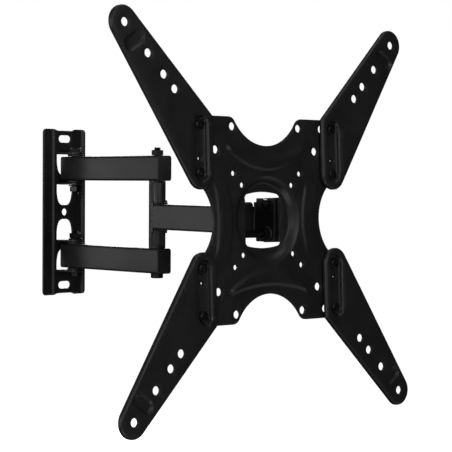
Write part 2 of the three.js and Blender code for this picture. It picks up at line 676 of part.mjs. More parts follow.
const boltSeat = lugUnderTop + LUG_SHEET + GAP;
const nutSeat = lugOverBottom - LUG_SHEET - GAP;
for (const side of [1, -1]) {
  const which = side > 0 ? "upper" : "lower";
  const place = (body) => (side > 0 ? body : body.mirror([0, 0, 1]));
  const washerLow = nutSeat - WASHER_HEIGHT;
  const nutLow = washerLow - GAP - NUT_HEIGHT;
  const pivotBolt = bolt(boltSeat, nutLow - BOLT_TAIL);
  const pivotNut = nut(BOLT_HEAD_FLATS, BOLT_RADIUS, nutLow, washerLow - GAP);
  const bushes = {
    outer: washer(BUSH_RADIUS, linkTop + GAP, linkTop + GAP + BUSH_HEIGHT),
    inner: washer(BUSH_RADIUS, linkBottom - GAP - BUSH_HEIGHT, linkBottom - GAP),
  };
  add(wall, `${which}_pivot_bolt`, place(pivotBolt), fastener, 0, pivotY);
  add(wall, `${which}_pivot_nut`, place(pivotNut), fastener, 0, pivotY);
  add(wall, `${which}_pivot_washer`, place(washer(WASHER_RADIUS, washerLow, nutSeat)), fastener, 0, pivotY);
  for (const [name, body] of Object.entries(bushes))
    add(wall, `${which}_pivot_bush_${name}`, place(body), nylon, 0, pivotY);
  add(links, `${which}_link`, link(), armCoat, 0, 0, side * LINK_HEIGHT);
  const ends = { wall: [LINK_BACK, -1], elbow: [-LINK_LENGTH - LINK_FRONT, 1] };
  for (const [name, [y, inward]] of Object.entries(ends))
    add(links, `${which}_link_${name}_cap`, endCap(y, inward), nylon, 0, 0, side * LINK_HEIGHT);
}

const elbowBoltSeat = -linkTop - GAP;
const elbowNutLow = linkTop + GAP;
const elbowBolt = bolt(elbowBoltSeat, elbowNutLow + NUT_HEIGHT + BOLT_TAIL);
const elbowNut = nut(BOLT_HEAD_FLATS, BOLT_RADIUS, elbowNutLow, elbowNutLow + NUT_HEIGHT);
add(links, "elbow_bolt", elbowBolt, fastener, 0, -LINK_LENGTH);
add(links, "elbow_nut", elbowNut, fastener, 0, -LINK_LENGTH);

const elbowBush = washer(BUSH_RADIUS, linkBottom - GAP - BUSH_HEIGHT, linkBottom - GAP);
add(arm, "outer_arm", outerArm(), armCoat);
add(arm, "elbow_bush_upper", elbowBush, nylon);
add(arm, "elbow_bush_lower", elbowBush.mirror([0, 0, 1]), nylon);

const swivelSeat = flangeOuter + GAP;
const swivelNutTop = -flangeOuter - GAP;
const swivelNutLow = swivelNutTop - NUT_HEIGHT;
const headBushLow = TUBE_HEIGHT / 2 + GAP;
const headBush = washer(BUSH_RADIUS, headBushLow, headBushLow + HEAD_BUSH_HEIGHT);
add(head, "swivel_bracket", swivelBracket(), powderCoat);
add(head, "swivel_bolt", bolt(swivelSeat, swivelNutLow - BOLT_TAIL), fastener);
add(head, "swivel_nut", nut(BOLT_HEAD_FLATS, BOLT_RADIUS, swivelNutLow, swivelNutTop), fastener);
add(head, "swivel_bush_upper", headBush, nylon);
add(head, "swivel_bush_lower", headBush.mirror([0, 0, 1]), nylon);

const earSeat = earOuter + GAP;
const tiltNutEnd = earSeat + NUT_HEIGHT;
const innerNutEnd = cheekInner - GAP;
const tiltNutLow = innerNutEnd - TILT_BUSH_HEIGHT - GAP - NUT_HEIGHT;
const tiltPieces = {
  tilt_bolt: [bolt(-earSeat, tiltNutEnd + BOLT_TAIL), fastener],
  tilt_nut: [nut(BOLT_HEAD_FLATS, BOLT_RADIUS, earSeat, tiltNutEnd), fastener],
  tilt_inner_nut: [nut(BOLT_HEAD_FLATS, BOLT_RADIUS, tiltNutLow, tiltNutLow + NUT_HEIGHT), fastener],
  tilt_bush_right: [washer(WASHER_RADIUS, innerNutEnd - TILT_BUSH_HEIGHT, innerNutEnd), nylon],
  tilt_bush_left: [washer(WASHER_RADIUS, -innerNutEnd, TILT_BUSH_HEIGHT - innerNutEnd), nylon],
};
for (const [name, [body, material]] of Object.entries(tiltPieces))
  add(tilt, name, sideways(body), material);

const lockEnd = innerNutEnd - LOCK_NUT_HEIGHT - 1.5;
const lockBolt = bolt(earSeat, lockEnd, LOCK_RADIUS, LOCK_FLATS, LOCK_HEAD_HEIGHT);
const lockNut = nut(LOCK_FLATS, LOCK_RADIUS, innerNutEnd - LOCK_NUT_HEIGHT, innerNutEnd);
for (const side of [1, -1]) {
  const which = side > 0 ? "right" : "left";
  const across = (body) => (side > 0 ? sideways(body) : sideways(body).mirror([1, 0, 0]));
  const lockY = behindPlate(LOCK_SETBACK);
  add(head, `lock_bolt_${which}`, across(lockBolt), fastener, 0, lockY, LOCK_RISE);
  add(head, `lock_nut_${which}`, across(lockNut), fastener, 0, lockY, LOCK_RISE);
}

add(face, "vesa_plate", standing(vesaPlate()), powderCoat);
const corners = { upper_right: [1, 1], upper_left: [-1, 1], lower_right: [1, -1], lower_left: [-1, -1] };
for (const [which, [sx, sy]] of Object.entries(corners)) {
  let body = leg();
  if (sx < 0) body = body.mirror([1, 0, 0]);
  if (sy < 0) body = body.mirror([0, 1, 0]);
  add(face, `${which}_leg`, standing(body), powderCoat);
  LEG_SCREWS.forEach((y, i) => {
    const end = i ? "outer" : "inner";
    const at = [sx * CHANNEL.x, 0, sy * y];
    const nutTop = -plateFront - GAP;
    const legNut = nut(LEG_NUT_FLATS, SCREW_RADIUS, nutTop - LEG_NUT_HEIGHT, nutTop);
    add(face, `${which}_${end}_screw`, standing(legScrew()), fastener, ...at);
    add(face, `${which}_${end}_nut`, standing(legNut), fastener, ...at);
  });
}

export default mount;
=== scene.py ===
"""Looks for the full motion television wall mount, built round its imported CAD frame.

Blender 4.5. Metres, row frame: the wall is Y = 0, the television side is -Y, +Z is up. Sheet-metal
pieces are drawn in millimetres, flat, with their own outline loops, then pressed or folded by a
placing function. Every piece ends at the origin, unturned, with its place in its vertices.
"""

import json
import math

import bmesh
import bpy
import numpy as np
from mathutils import Matrix, Vector, noise
from mathutils.geometry import delaunay_2d_cdt


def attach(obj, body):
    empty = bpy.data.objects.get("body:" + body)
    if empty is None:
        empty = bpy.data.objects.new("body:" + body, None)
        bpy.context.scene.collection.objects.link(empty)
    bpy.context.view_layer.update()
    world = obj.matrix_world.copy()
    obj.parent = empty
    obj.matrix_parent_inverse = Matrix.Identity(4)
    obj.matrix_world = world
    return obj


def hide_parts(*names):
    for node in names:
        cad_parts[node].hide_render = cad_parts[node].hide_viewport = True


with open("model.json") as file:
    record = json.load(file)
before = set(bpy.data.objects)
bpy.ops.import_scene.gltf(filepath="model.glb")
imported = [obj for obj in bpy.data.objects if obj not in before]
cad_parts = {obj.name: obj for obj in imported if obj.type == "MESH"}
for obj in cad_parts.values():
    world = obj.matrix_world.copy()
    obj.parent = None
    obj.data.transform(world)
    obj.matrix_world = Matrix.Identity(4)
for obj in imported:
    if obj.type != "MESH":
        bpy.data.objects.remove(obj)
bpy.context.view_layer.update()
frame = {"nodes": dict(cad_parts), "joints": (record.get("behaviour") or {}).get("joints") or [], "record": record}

MM = 0.001
GAP = 0.3
SHEET_EDGE = 0.35  # rounding of a sheared sheet's edges


# ---- where things are ---------------------------------------------------------------------------

JOINTS = {joint["name"]: joint for joint in frame["joints"]}


def axes(origin, right, back):
    """A matrix from millimetres in a piece's own frame to metres in the row frame."""
    x = Vector(right).normalized()
    y = Vector(back).normalized()
    z = x.cross(y)
    turn = Matrix((x, y, z)).transposed().to_4x4()
    return Matrix.Translation(origin) @ turn @ Matrix.Scale(MM, 4)


def level(origin, towards):
    """The frame of a level tube that runs from origin towards another point along its own -Y."""
    back = Vector(origin) - Vector(towards)
    back.z = 0.0
    back.normalize()
    return axes(origin, (back.y, -back.x, 0.0), back)


MOUNTS = {mount["name"]: mount for mount in frame["record"]["mounts"]}
P_WALL, P_ELBOW, P_HEAD, P_TILT = (
    Vector(JOINTS[name]["pos_m"])
    for name in ("wall_swivel", "elbow_swivel", "head_swivel", "head_tilt")
)
TILT_AXIS = Vector(JOINTS["head_tilt"]["axis"])
FACING = Vector(MOUNTS["plate_face"]["axis"])
WALL = Matrix.Scale(MM, 4)
PIVOT = Matrix.Translation(P_WALL) @ Matrix.Scale(MM, 4)
LINKS = level(P_WALL, P_ELBOW)
ARM = level(P_ELBOW, P_HEAD)
HEAD = axes(P_HEAD, TILT_AXIS, Vector((0, 0, 1)).cross(TILT_AXIS))
TILT = axes(P_TILT, TILT_AXIS, -FACING)
FACE = TILT @ Matrix.Translation((0.0, -22.6, 15.2))
STAND = Matrix.Rotation(math.pi / 2, 4, "X")  # a flat drawing stood up to face -Y
ACROSS = Matrix.Rotation(math.pi / 2, 4, "Y")  # an upright piece laid along X


# ---- materials ----------------------------------------------------------------------------------


def srgb(code):
    """A scene-linear colour from an sRGB hex code."""
    parts = [int(code[i : i + 2], 16) / 255 for i in (1, 3, 5)]
    linear = [c / 12.92 if c <= 0.04045 else ((c + 0.055) / 1.055) ** 2.4 for c in parts]
    return (*linear, 1.0)


def node(tree, kind, settings=None, values=None, links=None):
    """Adds a node: settings are its properties, values its unlinked inputs, links its linked ones."""
    made = tree.nodes.new(kind)
    for name, value in (settings or {}).items():
        setattr(made, name, value)
    for name, value in (values or {}).items():
        made.inputs[name].default_value = value
    for name, source in (links or {}).items():
        tree.links.new(source, made.inputs[name])
    return made


def ramp(tree, source, low, high, start, end):
    """Maps a 0..1 socket between two heights."""
    made = node(
        tree,
        "ShaderNodeMapRange",
        {"clamp": True},
        {"From Min": start, "From Max": end, "To Min": low, "To Max": high},
        {"Value": source},
    )
    return made.outputs["Result"]


def coated(name, dark, light, rough, peel, grain, dust=0.25, metallic=0.0, ior=1.5):
    """A painted or moulded black finish.

    Three scales give the eye something to read: a fine grain in the highlights, a slow orange peel
    that bends reflected edges, and cloudy changes of shade and gloss with a little settled dust on
    what faces up.
    """
    material = bpy.data.materials.new(name)
    material.use_nodes = True
    tree = material.node_tree
    tree.nodes.clear()
    place = node(tree, "ShaderNodeTexCoord").outputs["Object"]
    cloud = node(
        tree,
        "ShaderNodeTexNoise",
        values={"Scale": 38.0, "Detail": 5.0, "Roughness": 0.6},
        links={"Vector": place},
    ).outputs["Fac"]
    fine = node(
        tree,
        "ShaderNodeTexNoise",
        values={"Scale": grain, "Detail": 3.0, "Roughness": 0.7},
        links={"Vector": place},
    ).outputs["Fac"]
    skin = node(
        tree,
        "ShaderNodeTexNoise",
        values={"Scale": peel, "Detail": 2.0, "Roughness": 0.5},
        links={"Vector": place},
    ).outputs["Fac"]
    rubbed = node(
        tree,
        "ShaderNodeTexNoise",
        values={"Scale": 9.0, "Detail": 6.0, "Roughness": 0.72, "Distortion": 0.8},
        links={"Vector": place},
    ).outputs["Fac"]
    shade = node(
        tree,
        "ShaderNodeMix",
        {"data_type": "RGBA"},
        {"A": srgb(dark), "B": srgb(light)},
        {"Factor": ramp(tree, cloud, 0.0, 1.0, 0.3, 0.7)},
    ).outputs["Result"]
    geometry = node(tree, "ShaderNodeNewGeometry")
    facing = node(tree, "ShaderNodeSeparateXYZ", links={"Vector": geometry.outputs["Normal"]})
    upward = ramp(tree, facing.outputs["Z"], 0.0, 1.0, 0.55, 1.0)
    specks = ramp(tree, fine, 0.0, dust, 0.56, 0.7)
    settled = node(
        tree,
        "ShaderNodeMath",
        {"operation": "MULTIPLY"},
        links={0: upward, 1: specks},
    ).outputs["Value"]
    colour = node(
        tree,
        "ShaderNodeMix",
        {"data_type": "RGBA"},
        {"B": srgb("#6a6763")},
        {"Factor": settled, "A": shade},
    ).outputs["Result"]
    gloss = node(
        tree,
        "ShaderNodeMath",
        {"operation": "ADD"},
        links={
            0: ramp(tree, cloud, rough - 0.04, rough + 0.05, 0.3, 0.7),
            1: ramp(tree, rubbed, -0.03, 0.06, 0.35, 0.65),
        },
    ).outputs["Value"]
    peeled = node(
        tree,
        "ShaderNodeBump",
        values={"Strength": 0.32, "Distance": 0.00012},
        links={"Height": skin},
    ).outputs["Normal"]
    grained = node(
        tree,
        "ShaderNodeBump",
        values={"Strength": 0.22, "Distance": 0.00004},
        links={"Height": fine, "Normal": peeled},
    ).outputs["Normal"]
    surface = node(
        tree,
        "ShaderNodeBsdfPrincipled",
        values={"Metallic": metallic, "IOR": ior},
        links={"Base Color": colour, "Roughness": gloss, "Normal": grained},
    )
    node(tree, "ShaderNodeOutputMaterial", links={"Surface": surface.outputs["BSDF"]})
    return material


# Satin powder coat on the pressed plates: deep black, soft wide highlights with a pebbled break-up.
POWDER = coated("satin_powder_coat", "#131314", "#1a1a1b", 0.42, 900.0, 4200.0)
# painted shade: the folded bracket wears the satin powder coat made a shade deeper, standing in for the shade
# where it sits out of the light
BRACKET_PAINTED_SHADE_COAT = coated("satin_bracket_coat_painted_shade", "#0c0c0d", "#121213", 0.45, 900.0, 4200.0)
# The tubes' coat is smoother and catches broader, brighter light along its flats.
TUBE_COAT = coated("semi_gloss_powder_coat", "#1e1e1f", "#272728", 0.34, 650.0, 5200.0)
# Black zinc: thin plating over steel, so its highlights stay metallic and dark.
ZINC = coated("black_zinc_plate", "#1d1d1f", "#29292b", 0.34, 1500.0, 7000.0, 0.15, 0.85)
# Moulded nylon: no metal in it, a dull skin with the tool's fine grain.
NYLON = coated("moulded_nylon", "#1a1a1a", "#232323", 0.6, 1200.0, 6000.0)
# Coated weld metal: the same paint, pooled a little glossier over the ripples.
WELD = coated("coated_weld", "#161617", "#202021", 0.3, 700.0, 4200.0)


# ---- piece building -----------------------------------------------------------------------------


def finish_mesh(mesh, angle=34.0):
    """Smooth shading with creases where faces really meet at an edge."""
    mesh.shade_smooth()
    mesh.set_sharp_from_angle(angle=math.radians(angle))


def piece(name, mesh, body, slot, material, matrix=None, stands_for=()):
    """Puts a finished mesh into the scene, riding on a CAD body."""
    if matrix is not None:
        mesh.transform(matrix)
    work = bmesh.new()
    work.from_mesh(mesh)
    bmesh.ops.recalc_face_normals(work, faces=work.faces)
    work.to_mesh(mesh)
    work.free()
    mesh.materials.clear()
    mesh.materials.append(material)
    made = bpy.data.objects.new(name, mesh)
    bpy.context.scene.collection.objects.link(made)
    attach(made, body)
    if stands_for:
        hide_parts(*stands_for)
    return made


def grid_mesh(name, rows, closed=True):
    """A skin through rows of points, each row closed on itself, with its first and last row capped."""
    count = len(rows[0])
    vertices = [tuple(p) for row in rows for p in row]
    faces = []
    for i in range(len(rows) - 1):
        for j in range(count):
            k = (j + 1) % count
            a, b = i * count, (i + 1) * count
            faces.append((a + j, a + k, b + k, b + j))
    if closed:
        faces.append(tuple(reversed(range(count))))
        faces.append(tuple(range((len(rows) - 1) * count, len(rows) * count)))
    else:
        last = (len(rows) - 1) * count
        for j in range(count):
            k = (j + 1) % count
            faces.append((last + j, last + k, k, j))
    mesh = bpy.data.meshes.new(name)
    mesh.from_pydata(vertices, [], faces)
    mesh.update()
    return mesh


def merge(name, meshes):
    """Several meshes as one."""
    joined = bmesh.new()
    for mesh in meshes:
        joined.from_mesh(mesh)
        bpy.data.meshes.remove(mesh)
    out = bpy.data.meshes.new(name)
    joined.to_mesh(out)
    joined.free()
    return out


# ---- outlines -----------------------------------------------------------------------------------


def arc(x, y, radius, start, end, steps):
    """Points of an arc, angles in degrees, both ends included."""
    angles = np.radians(np.linspace(start, end, steps + 1))
    return np.column_stack((x + radius * np.cos(angles), y + radius * np.sin(angles)))


def ring(x, y, radius, steps=28):
    """A hole's loop, clockwise."""
    return arc(x, y, radius, 0, -360, steps)[:-1]


def obround(x, y, length, width, turn=0.0, steps=10):
    """An obround hole's loop, clockwise."""
    r, reach = width / 2, (length - width) / 2
    loop = np.vstack((arc(reach, 0, r, 90, -90, steps), arc(-reach, 0, r, -90, -270, steps)))
    c, s = math.cos(turn), math.sin(turn)
    return loop @ np.array(((c, s), (-s, c))) + (x, y)


def resample(loop, step):
    """The loop with its long straight runs divided."""
    out = []
    for a, b in zip(loop, np.roll(loop, -1, axis=0)):
        length = float(np.hypot(*(b - a)))
        if length < 1e-6:
            continue
        parts = max(1, round(length / step))
        out.extend(a + (b - a) * i / parts for i in range(parts))
    return np.array(out)


def outward(loop):
    """Unit directions out of the material, for a loop with the material on its left."""
    before = loop - np.roll(loop, 1, axis=0)
    after = np.roll(loop, -1, axis=0) - loop
    both = before / np.linalg.norm(before, axis=1)[:, None]
    both = both + after / np.linalg.norm(after, axis=1)[:, None]
    both = both / np.linalg.norm(both, axis=1)[:, None]
    return np.column_stack((both[:, 1], -both[:, 0]))


def inside(points, loop):
    """Which points lie inside a closed loop."""
    x, y = points[:, 0], points[:, 1]
    found = np.zeros(len(points), bool)
    for (ax, ay), (bx, by) in zip(loop, np.roll(loop, -1, axis=0)):
        if ay == by:
            continue
        crosses = (ay > y) != (by > y)
        found ^= crosses & (x < (bx - ax) * (y - ay) / (by - ay) + ax)
    return found


def edge_profile(thickness, r=SHEET_EDGE):
    """A sheared edge's section, from the top face out and round to the underside."""
    near, drop = r * math.sin(math.pi / 4), r * (1 - math.cos(math.pi / 4))
    return [
        (near, -drop),
        (r, -r),
        (r, -thickness + r),
        (near, -thickness + drop),
    ]


def pressed(name, outline, holes, thickness, place, relief=None, fine=1.3, coarse=6.0, rim=None):
    """A sheet-metal piece from flat loops.

    outline runs anticlockwise and holes clockwise. place(u, v, w) puts flat points, w below the top
    face, in space. relief(points) is the pressed height, used only to decide where points are dense.
    """
    loops = [np.asarray(outline, float), *(np.asarray(h, float) for h in holes)]
    profiles = [rim or edge_profile(thickness)] + [edge_profile(thickness)] * len(holes)
    back = [profile[len(profile) // 2 - 1][0] for profile in profiles]
    if rim:
        back[0] = rim_reach(rim)
    normals = [outward(loop) for loop in loops]
    inner = [loop - normal * reach for loop, normal, reach in zip(loops, normals, back)]
    low, high = inner[0].min(0), inner[0].max(0)
    xs = np.arange(low[0] + fine / 2, high[0], fine)
    ys = np.arange(low[1] + fine / 2, high[1], fine)
    gx, gy = np.meshgrid(xs, ys)
    index = np.indices(gx.shape).reshape(2, -1)
    points = np.column_stack((gx.ravel(), gy.ravel()))
    every = max(1, round(coarse / fine))
    keep = (index[0] % every == 0) & (index[1] % every == 0)
    if relief is not None:
        here = relief(points)
        for dx, dy in ((fine, 0), (-fine, 0), (0, fine), (0, -fine)):
            keep |= np.abs(relief(points + (dx, dy)) - here) > 0.012
    points = points[keep]
    points = points[inside(points, inner[0])]
    for loop in inner[1:]:
        points = points[~inside(points, loop)]
    for loop in inner:
        for start in range(0, len(loop), 64):
            if not len(points):
                break
            away = np.linalg.norm(points[:, None] - loop[None, start : start + 64], axis=2)
            points = points[away.min(1) > 0.75]
    flat = [Vector(p) for loop in inner for p in loop] + [Vector(p) for p in points]
    edges, first = [], 0
    for loop in inner:
        count = len(loop)
        edges.extend((first + i, first + (i + 1) % count) for i in range(count))
        first += count
    found, _, faces, origins, _, _ = delaunay_2d_cdt(flat, edges, [], 0, 1e-6)
    found = np.array([tuple(p) for p in found])
    triangles = np.array([f for f in faces if len(f) == 3])
    middles = found[triangles].mean(1)
    good = inside(middles, inner[0])
    for loop in inner[1:]:
        good &= ~inside(middles, loop)
    triangles = triangles[good]
    index_of = {source: i for i, sources in enumerate(origins) for source in sources}
    total = len(found)
    vertices = [*place(found, np.zeros(total)), *place(found, np.full(total, -thickness))]
    polygons = [tuple(t) for t in triangles] + [tuple(t[::-1] + total) for t in triangles]
    first = 0
    for loop, normal, profile in zip(inner, normals, profiles):
        count = len(loop)
        top = [index_of[first + i] for i in range(count)]
        rows = [top]
        for reach, drop in profile:
            rows.append(list(range(len(vertices), len(vertices) + count)))
            vertices.extend(place(loop + normal * reach, np.full(count, drop)))
        rows.append([i + total for i in top])
        for upper, lower in zip(rows, rows[1:]):
            for i in range(count):
                k = (i + 1) % count
                polygons.append((upper[i], lower[i], lower[k], upper[k]))
        first += count
    mesh = bpy.data.meshes.new(name)
    mesh.from_pydata([tuple(p) for p in vertices], [], polygons)
    mesh.update()
    finish_mesh(mesh)
    return mesh


def rim_reach(rim):
    """How far a turned rim's outer face stands outside the flat face it starts from."""
    return max(reach for reach, _ in rim)


def smooth(t):
    """Eases from 0 to 1."""
    t = np.clip(t, 0.0, 1.0)
    return t * t * (3.0 - 2.0 * t)


def raised(relief):
    """Places flat points on a pressed surface, thickness running straight down."""

    def place(points, w):
        return np.column_stack((points, relief(points) + w))

    return place


# ---- bolt-pattern plate -------------------------------------------------------------------------

PLATE_SHEET = 2.2
PLATE_HALF = 110.5


def crescent(along, out, near, far, reach, tip_near, tip_far, rise, ramp_width, fade):
    """Pressed height of one crescent, along it and out from the middle."""
    bend = (along / reach) ** 2
    low = out - (near + (tip_near - near) * bend)
    high = (far + (tip_far - far) * bend) - out
    ends = (reach - np.abs(along)) * ramp_width / fade
    return rise * smooth(np.minimum(np.minimum(low, high), ends) / ramp_width)


def plate_relief(points):
    """Height of the plate's front face over its flat sheet."""
    x, y = points[:, 0], points[:, 1]
    over = np.hypot(x, y) - 38.4
    foot = np.clip(over, 0.0, 3.0) ** 2 / 6 + np.maximum(over - 3.0, 0.0)  # a small round at the floor
    dish = -7.6 * (1.0 - np.clip(foot / 9.6, 0.0, 1.0)) ** 1.9
    ends = crescent(x, np.abs(y), 52.0, 72.0, 60.0, 74.5, 82.0, 1.8, 4.6, 7.0)
    sides = crescent(y, np.abs(x), 51.5, 75.0, 44.0, 61.0, 80.0, 1.2, 3.0, 16.0)
    return dish + np.maximum(ends, sides) + PLATE_SHEET / 2


def plate_outline():
    """The square with its four round bites, anticlockwise."""
    half, c = PLATE_HALF, 8.0
    end_angle = math.degrees(math.asin(23.5 / 54.0))
    side_angle = math.degrees(math.asin(19.2 / 50.0))
    end, side = half + 23.5, half + 19.2
    parts = [
        arc(half - c, half - c, c, 0, 90, 8),
        bite(0, end, 54.0, -end_angle, -180 + end_angle),
        arc(-half + c, half - c, c, 90, 180, 8),
        bite(-side, 0, 50.0, 90 - side_angle, -90 + side_angle),
        arc(-half + c, -half + c, c, 180, 270, 8),
        bite(0, -end, 54.0, 180 - end_angle, end_angle),
        arc(half - c, -half + c, c, 270, 360, 8),
        bite(side, 0, 50.0, -90 - side_angle, -270 + side_angle),
    ]
    return resample(np.vstack(parts), 2.0)


def bite(x, y, radius, start, end, round_off=7.0):
    """A clockwise bite out of a straight edge, its two corners rounded off."""
    trim = math.degrees(round_off / radius)
    middle = arc(x, y, radius, start - trim, end + trim, 48)
    t = np.linspace(0, 1, 7)[:-1, None]
    corners = arc(x, y, radius, start, end, 1)
    edge = (corners[0] - corners[1]) / np.linalg.norm(corners[0] - corners[1]) * round_off

    def ease(a, b, c):
        return (1 - t) ** 2 * a + 2 * (1 - t) * t * b + t * t * c

    before = ease(corners[0] + edge, corners[0], middle[0])
    after = ease(middle[-1], corners[1], corners[1] - edge)
    return np.vstack((before, middle, after[1:], [corners[1] - edge]))


def all_corners(x, y):
    return [(x, y), (-x, y), (x, -y), (-x, -y)]


def opening_loop():
    """The dish's opening, clockwise: straight sides, bowed ends."""
    t = np.linspace(0, 1, 41)
    bow = 27.2 + 2 * t * (1 - t) * 6.4 - 2.2 * np.clip(1 - np.minimum(t, 1 - t) / 0.06, 0, 1) ** 2
    top = np.column_stack((-26.6 + 53.2 * t, bow))
    bottom = np.column_stack((26.6 - 53.2 * t, -bow))
    return resample(np.vstack((top, bottom)), 2.0)


def build_plate():
    holes = [opening_loop()]
    for x, y in all_corners(37.5, 37.5) + all_corners(50, 50):
        holes.append(ring(x, y, 2.75, 20))
    for x, y in all_corners(50, 100) + all_corners(75, 75) + all_corners(86, 100):
        holes.append(ring(x, y, 4.25, 24))
    for x, y in all_corners(100, 65):
        holes.append(ring(x, y, 2.4, 16))
    sheet = pressed(
        "plate",
        plate_outline(),
        holes,
        PLATE_SHEET,
        raised(plate_relief),
        plate_relief,
        1.25,
        6.0,
    )
    sheet.transform(STAND)
    ears = [build_ear(side) for side in (1, -1)]
    for ear in ears:
        ear.transform(Matrix.Translation((0, 0.08, 0)))  # their roots stay just behind the dish's floor
    joined = merge("vesa_plate_pressing", [sheet, *ears])
    finish_mesh(joined)
    piece("vesa_plate_pressing", joined, "plate", "powder_coat", POWDER, FACE, ["vesa_plate"])


def curved_slot(x, y, reach, radius, high, low):
    """A slot's loop along an arc, clockwise; high and low are degrees."""

    def centre(angle):
        return x + reach * math.cos(math.radians(angle)), y + reach * math.sin(math.radians(angle))

    outer = arc(x, y, reach + radius, high, low, 8)
    end = arc(*centre(low), radius, low, low - 180, 8)
    inner = arc(x, y, reach - radius, low, high, 8)
    start = arc(*centre(high), radius, high + 180, high, 8)
    return np.vstack((outer, end[1:], inner[1:], start[1:-1]))


def build_ear(side):
    """An ear bent back from the opening's edge: u runs from the floor round the bend and back."""
    r, t = 3.2, PLATE_SHEET
    quarter = r * math.pi / 2
    foot = 1.6
    back = 37.5 - 6.5 - r
    length = foot + quarter + back
    c = 7.0
    outline = np.vstack(
        (
            [(0.0, -24.5)],
            arc(length - c, -24.5 + c, c, -90, 0, 8),
            arc(length - c, 24.5 - c, c, 0, 90, 8),
            [(0.0, 24.5)],
        )
    )
    at = foot + quarter - (6.5 + r)
    holes = [ring(at + 22.6, -15.2, 4.4, 24), curved_slot(at + 22.6, -15.2, 33.01, 3.4, 93.9, 76.4)]

    def place(points, w):
        u, v = points[:, 0] - foot, points[:, 1]
        angle = np.clip(u / r, 0.0, math.pi / 2)
        straight = np.maximum(u - quarter, 0.0) + 0.0
        run = np.minimum(u, 0.0)
        centre_x = 25.8 + r
        x = centre_x - run - (r + w) * np.sin(angle)
        d = 6.5 + r - (r + w) * np.cos(angle) + straight
        return np.column_stack((x * side, d, v * 1.0))

    bending = lambda p: 0.2 * (p[:, 0] - foot) ** 2 * (p[:, 0] < foot + quarter + 1)
    mesh = pressed(
        "ear", resample(outline, 1.6), holes, t, place, bending, 1.4, 5.0
    )
    return mesh


# ---- legs ---------------------------------------------------------------------------------------

LEG_SHEET = 2.0
LEG_FRONT = 7.7
LEG_FLOOR = 3.4  # the channel floor's front face
LEG_DEPTH = 5.2


def leg_outline():
    """The upper right leg, anticlockwise."""
    outward_angle = math.degrees(math.atan2(150, 100)) - 90
    reach = math.hypot(117.5, 90)
    slope = math.degrees(math.atan2(90, 117.5) + math.asin(17.5 / reach))
    parts = [
        arc(200, 200, 17.5, outward_angle, slope + 90, 26),
        [(82.5, 110.0)],
        arc(100, 50, 17.5, 180, 360 + outward_angle, 36),
    ]
    return resample(np.vstack(parts), 2.6)


def obround_depth(points, x, y, length, width, turn):
    """Distance inside an obround, positive within."""
    c, s = math.cos(turn), math.sin(turn)
    dx, dy = points[:, 0] - x, points[:, 1] - y
    along = np.abs(dx * c + dy * s)
    over = np.maximum(along - (length - width) / 2, 0.0)
    return width / 2 - np.hypot(over, -dx * s + dy * c)


LEG_AXIS = math.atan2(150, 100)


def leg_relief(points):
    """Height of a leg's front face over the plate's middle plane."""
    channel = smooth(obround_depth(points, 100, 75, 70, 20, math.pi / 2) / 2.4)
    dimple = smooth(obround_depth(points, 188, 182, 29, 16, LEG_AXIS + math.pi / 2) / 2.6)
    return LEG_FRONT - channel * (LEG_FRONT - LEG_FLOOR) - dimple * 2.3


def leg_rim():
    """Section of the turned-back rim, from the flat face outwards, down, and back inside."""
    r, t, depth = 2.8, LEG_SHEET, LEG_DEPTH
    outer = [(r * math.sin(a), -r * (1 - math.cos(a))) for a in np.radians((18, 36, 54, 72, 90))]
    lip = [(r, -depth + 0.4), (r - 0.35, -depth), (r - t + 0.35, -depth), (r - t, -depth + 0.4)]
    q = r - t
    inner = [(q * math.sin(a), -t - q * (1 - math.cos(a))) for a in np.radians((90, 50))]
    return outer + lip + inner


def build_legs():
    holes = [ring(d, d, 4.5, 26) for d in (200, 170.5, 150, 135.6)]
    holes += [ring(100, y, 3.3, 18) for y in (50, 100)]
    holes.append(ring(100, 65, 2.4, 16))
    corners = {"upper_right": (1, 1), "upper_left": (-1, 1), "lower_right": (1, -1), "lower_left": (-1, -1)}
    for which, (sx, sy) in corners.items():
        mesh = pressed(
            which, leg_outline(), holes, LEG_SHEET, raised(leg_relief), leg_relief, 1.25, 6.0, leg_rim()
        )
        mesh.transform(STAND)
        turn = FACE @ Matrix.Diagonal((sx, 1, sy, 1))
        piece(f"{which}_leg_pressing", mesh, "plate", "powder_coat", POWDER, turn, [f"{which}_leg"])
        for y, end in ((50, "inner"), (100, "outer")):
            at = FACE @ Matrix.Translation((sx * 100.0, 0.0, sy * y))
            turned = 0.6 + 0.9 * sx + 0.4 * sy + 0.011 * y
            screw = build_screw(turned)
            screw.transform(STAND)
            piece(f"{which}_{end}_pan_screw", screw, "plate", "fastener", ZINC, at, [f"{which}_{end}_screw"])
            nut = hex_nut(10.0, 5.0, 3.0, 0.4 * turned)
            nut.transform(STAND @ Matrix.Translation((0, 0, -PLATE_SHEET / 2 - GAP - 5.0)))
            piece(f"{which}_{end}_hex_nut", nut, "plate", "fastener", ZINC, at, [f"{which}_{end}_nut"])


# ---- fasteners ----------------------------------------------------------------------------------


def hex_rows(flats, low, high, turn=0.0, both=True, inner=None):
    """Rows of a hexagon prism whose ends are turned to a cone."""
    angles = np.radians(np.arange(0, 360, 5)) + 1e-9
    reach = (flats / 2) / np.cos((angles + math.pi / 6) % (math.pi / 3) - math.pi / 6)
    flat = flats / 2 * 0.96
    drop = (reach - flat) * math.tan(math.radians(30))
    turned = angles + turn

    def row(radius, z):
        z = np.broadcast_to(z, angles.shape)
        radius = np.broadcast_to(radius, angles.shape)
        return np.column_stack((radius * np.cos(turned), radius * np.sin(turned), z))

    bottom = low + drop if both else np.full(angles.shape, low)
    rows = [row(reach, bottom), row(reach, high - drop), row(flat, high)]
    if both:
        rows.insert(0, row(flat, low))
    return rows, row


